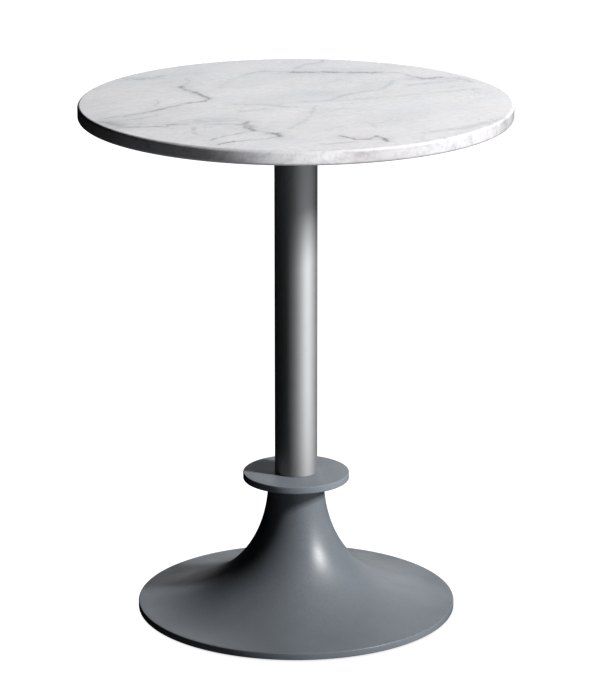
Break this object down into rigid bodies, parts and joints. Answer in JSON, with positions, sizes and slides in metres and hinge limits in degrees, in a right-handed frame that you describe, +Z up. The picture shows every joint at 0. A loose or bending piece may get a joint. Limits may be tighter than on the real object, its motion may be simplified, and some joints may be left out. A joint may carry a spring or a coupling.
{
  "type": "bistro table",
  "caption": "Round marble table top on a straight metal column with a flat collar and a trumpet-shaped cast base on levelling glides.",
  "frame": {"origin": "centre of the base at floor level, under the column's axis", "axes": "+Z up along the column; X and Y lie between the spider's arms and between the glides"},
  "size_m": [0.6, 0.6, 0.735],
  "materials": {
    "marble": "gloss",
    "satin_steel": "satin",
    "grey_paint_steel": "satin",
    "grey_paint_iron": "satin",
    "black_iron": "satin",
    "zinc_steel": "satin",
    "brass": "satin",
    "rubber": "matte",
    "black_plastic": "satin"
  },
  "bodies": {
    "table": {"base_casting": "grey_paint_iron", "clamp_washer": "zinc_steel", "collar_disc": "grey_paint_steel", "insert_1": "brass", "insert_2": "brass", "insert_3": "brass", "insert_4": "brass", "marble_top": "marble", "rod_nut": "zinc_steel", "spring_washer": "zinc_steel", "stem_plug": "zinc_steel", "stem_tube": "satin_steel", "tie_rod": "zinc_steel", "top_pad_1": "rubber", "top_pad_2": "rubber", "top_pad_3": "rubber", "top_pad_4": "rubber", "top_screw_1": "zinc_steel", "top_screw_2": "zinc_steel", "top_screw_3": "zinc_steel", "top_screw_4": "zinc_steel", "top_spider": "black_iron", "top_washer_1": "zinc_steel", "top_washer_2": "zinc_steel", "top_washer_3": "zinc_steel", "top_washer_4": "zinc_steel"},
    "glide_1": {"glide_pad_1": "black_plastic"},
    "glide_screw_1": {"glide_stud_1": "zinc_steel"},
    "glide_2": {"glide_pad_2": "black_plastic"},
    "glide_screw_2": {"glide_stud_2": "zinc_steel"},
    "glide_3": {"glide_pad_3": "black_plastic"},
    "glide_screw_3": {"glide_stud_3": "zinc_steel"},
    "glide_4": {"glide_pad_4": "black_plastic"},
    "glide_screw_4": {"glide_stud_4": "zinc_steel"}
  },
  "joints": [
    {"name": "glide_1_level", "type": "slide", "parent": "table", "child": "glide_1", "axis": [0, 0, -1], "range_m": [0, 0.005]},
    {"name": "glide_1_turn", "type": "hinge", "parent": "glide_1", "child": "glide_screw_1", "pos_m": [0.12445, 0.12445, 0.004], "axis": [0, 0, -1], "range_deg": [0, 1440]},
    {"name": "glide_2_level", "type": "slide", "parent": "table", "child": "glide_2", "axis": [0, 0, -1], "range_m": [0, 0.005]},
    {"name": "glide_2_turn", "type": "hinge", "parent": "glide_2", "child": "glide_screw_2", "pos_m": [-0.12445, 0.12445, 0.004], "axis": [0, 0, -1], "range_deg": [0, 1440]},
    {"name": "glide_3_level", "type": "slide", "parent": "table", "child": "glide_3", "axis": [0, 0, -1], "range_m": [0, 0.005]},
    {"name": "glide_3_turn", "type": "hinge", "parent": "glide_3", "child": "glide_screw_3", "pos_m": [-0.12445, -0.12445, 0.004], "axis": [0, 0, -1], "range_deg": [0, 1440]},
    {"name": "glide_4_level", "type": "slide", "parent": "table", "child": "glide_4", "axis": [0, 0, -1], "range_m": [0, 0.005]},
    {"name": "glide_4_turn", "type": "hinge", "parent": "glide_4", "child": "glide_screw_4", "pos_m": [0.12445, -0.12445, 0.004], "axis": [0, 0, -1], "range_deg": [0, 1440]}
  ],
  "couplings": [
    {"joint": "glide_1_turn", "follows": "glide_1_level", "rad_per_m": 5026.5},
    {"joint": "glide_2_turn", "follows": "glide_2_level", "rad_per_m": 5026.5},
    {"joint": "glide_3_turn", "follows": "glide_3_level", "rad_per_m": 5026.5},
    {"joint": "glide_4_turn", "follows": "glide_4_level", "rad_per_m": 5026.5}
  ]
}
